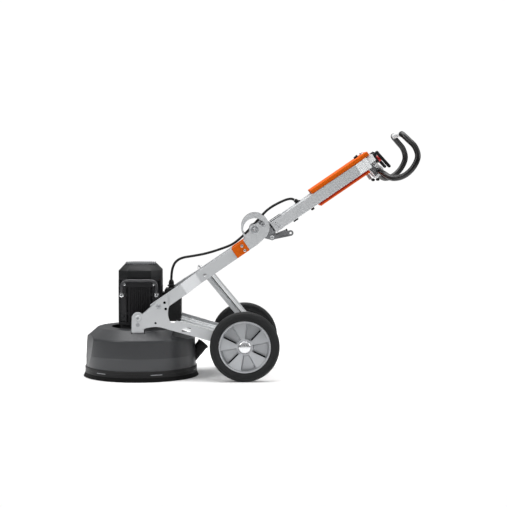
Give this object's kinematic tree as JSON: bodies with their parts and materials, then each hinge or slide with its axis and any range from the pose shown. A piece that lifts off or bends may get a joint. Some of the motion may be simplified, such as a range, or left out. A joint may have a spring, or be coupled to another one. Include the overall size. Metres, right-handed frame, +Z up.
{
  "type": "concrete floor grinder",
  "caption": "Walk-behind concrete floor grinder with a round planetary grinding head, an upright motor, a folding handle and transport wheels.",
  "frame": {"origin": "on the floor under the middle of the machine's length and width", "axes": "+X from the grinding head towards the operator, +Y towards the far side wheel, +Z up"},
  "size_m": [1.4608, 0.508, 1.0725],
  "materials": {
    "silver_paint": "satin, fine brushed",
    "bright_aluminium": "bright milled",
    "grey_steel": "zinc grey",
    "charcoal_paint": "fine textured powder coat",
    "motor_casting": "painted casting",
    "black_paint": "powder coat",
    "black_plastic": "moulded",
    "brush_fibre": "bristles",
    "orange_plastic": "satin moulded",
    "dark_orange_plastic": "satin moulded",
    "gear_steel": "machined",
    "grip_foam": "soft matt",
    "tyre_rubber": "solid rubber",
    "wheel_casting": "sand cast",
    "red_plastic": "moulded",
    "clear_plastic": "translucent lens",
    "cable_sheath": "rubber sheath"
  },
  "bodies": {
    "chassis": {"side_plate_near": "silver_paint", "side_plate_far": "silver_paint", "rear_deck": "bright_aluminium", "lower_beam_near": "silver_paint", "lower_beam_far": "silver_paint", "sleeve_near": "orange_plastic", "sleeve_far": "orange_plastic", "fold_plate_near": "silver_paint", "fold_plate_far": "silver_paint", "strut": "silver_paint", "axle_carrier": "grey_steel", "axle": "grey_steel", "motor_housing": "motor_casting", "fan_cover": "charcoal_paint", "terminal_box": "black_paint", "lower_gland": "black_plastic", "bow_handle_near": "black_paint", "bow_handle_far": "black_paint", "base_plate": "grey_steel", "shroud": "charcoal_paint", "dust_port": "black_plastic", "ring_gear": "gear_steel", "head_mount_near": "grey_steel", "head_mount_far": "grey_steel", "cable": "cable_sheath"},
    "skirt": {"skirt_holder": "black_plastic", "brush_skirt": "brush_fibre"},
    "carrier": {"planet_carrier": "gear_steel"},
    "rotor": {"motor_shaft": "gear_steel", "sun_gear": "gear_steel", "cooling_fan": "black_plastic"},
    "satellite_1": {"planet_spindle_1": "gear_steel", "grinding_plate_1": "gear_steel"},
    "satellite_2": {"planet_spindle_2": "gear_steel", "grinding_plate_2": "gear_steel"},
    "satellite_3": {"planet_spindle_3": "gear_steel", "grinding_plate_3": "gear_steel"},
    "wheel_near": {"tyre_near": "tyre_rubber", "wheel_hub_near": "wheel_casting"},
    "wheel_far": {"tyre_far": "tyre_rubber", "wheel_hub_far": "wheel_casting"},
    "upper_handle": {"upper_rail_near": "silver_paint", "upper_rail_far": "silver_paint", "handle_bracket_near": "grey_steel", "handle_bracket_far": "grey_steel", "lock_rod": "grey_steel", "control_cabinet": "silver_paint", "top_cover": "orange_plastic", "bottom_cover": "dark_orange_plastic", "upper_gland": "black_plastic", "handle_head": "bright_aluminium", "control_bar": "black_paint"},
    "latch": {"latch_lever": "charcoal_paint"},
    "stop_button": {"emergency_stop": "red_plastic"},
    "clamp_near": {"clamp_lever_near": "black_plastic"},
    "clamp_far": {"clamp_lever_far": "black_plastic"},
    "speed_dial": {"speed_knob": "black_plastic"},
    "start_key": {"start_button": "clear_plastic"},
    "grip_bar": {"handlebar": "grip_foam", "handlebar_crossbar": "bright_aluminium"}
  },
  "joints": [
    {"name": "skirt_float", "type": "slide", "parent": "chassis", "child": "skirt", "axis": [0, 0, 1], "range_m": [0, 0.012]},
    {"name": "carrier_spin", "type": "hinge", "parent": "chassis", "child": "carrier", "pos_m": [-0.47635, 0, 0.08], "axis": [0, 0, 1], "continuous": true},
    {"name": "rotor_spin", "type": "hinge", "parent": "chassis", "child": "rotor", "pos_m": [-0.47635, 0, 0.08], "axis": [0, 0, 1], "continuous": true},
    {"name": "satellite_1_spin", "type": "hinge", "parent": "carrier", "child": "satellite_1", "pos_m": [-0.35485, 0, 0.05], "axis": [0, 0, 1], "continuous": true},
    {"name": "satellite_2_spin", "type": "hinge", "parent": "carrier", "child": "satellite_2", "pos_m": [-0.5371, 0.10522, 0.05], "axis": [0, 0, 1], "continuous": true},
    {"name": "satellite_3_spin", "type": "hinge", "parent": "carrier", "child": "satellite_3", "pos_m": [-0.5371, -0.10522, 0.05], "axis": [0, 0, 1], "continuous": true},
    {"name": "wheel_near_spin", "type": "hinge", "parent": "chassis", "child": "wheel_near", "pos_m": [-0.01735, -0.222, 0.15], "axis": [0, 1, 0], "continuous": true},
    {"name": "wheel_far_spin", "type": "hinge", "parent": "chassis", "child": "wheel_far", "pos_m": [-0.01735, 0.222, 0.15], "axis": [0, 1, 0], "continuous": true},
    {"name": "handle_fold", "type": "hinge", "parent": "chassis", "child": "upper_handle", "pos_m": [0.02612, 0, 0.64719], "axis": [0, -1, 0], "range_deg": [0, 150], "deforming": ["cable"]},
    {"name": "latch_release", "type": "hinge", "parent": "upper_handle", "child": "latch", "pos_m": [0.10236, -0.107, 0.61386], "axis": [0, 1, 0], "range_deg": [0, 60], "stiffness_Nm_per_rad": 0.5, "springref_deg": -34.38},
    {"name": "handlebar_tilt", "type": "hinge", "parent": "upper_handle", "child": "grip_bar", "pos_m": [0.5708, 0, 0.90315], "axis": [0, 1, 0], "range_deg": [-30, 30]},
    {"name": "clamp_near_turn", "type": "hinge", "parent": "upper_handle", "child": "clamp_near", "pos_m": [0.54758, -0.092, 0.97446], "axis": [0.8261, 0, 0.5635], "range_deg": [-90, 60]},
    {"name": "clamp_far_turn", "type": "hinge", "parent": "upper_handle", "child": "clamp_far", "pos_m": [0.54758, 0.092, 0.97446], "axis": [0.8261, 0, 0.5635], "range_deg": [-60, 90]},
    {"name": "stop_press", "type": "slide", "parent": "upper_handle", "child": "stop_button", "axis": [-0.8261, 0, -0.5635], "range_m": [0, 0.005], "stiffness_N_per_m": 800, "springref_m": -0.002},
    {"name": "speed_turn", "type": "hinge", "parent": "upper_handle", "child": "speed_dial", "pos_m": [0.47589, 0, 0.96066], "axis": [-0.5635, 0, 0.8261], "range_deg": [0, 270]},
    {"name": "start_press", "type": "slide", "parent": "upper_handle", "child": "start_key", "axis": [0.5635, 0, -0.8261], "range_m": [0, 0.003], "stiffness_N_per_m": 400, "springref_m": -0.002}
  ],
  "couplings": [
    {"joint": "rotor_spin", "follows": "carrier_spin", "ratio": 4.5},
    {"joint": "satellite_1_spin", "follows": "carrier_spin", "ratio": -2.8},
    {"joint": "satellite_2_spin", "follows": "carrier_spin", "ratio": -2.8},
    {"joint": "satellite_3_spin", "follows": "carrier_spin", "ratio": -2.8}
  ]
}
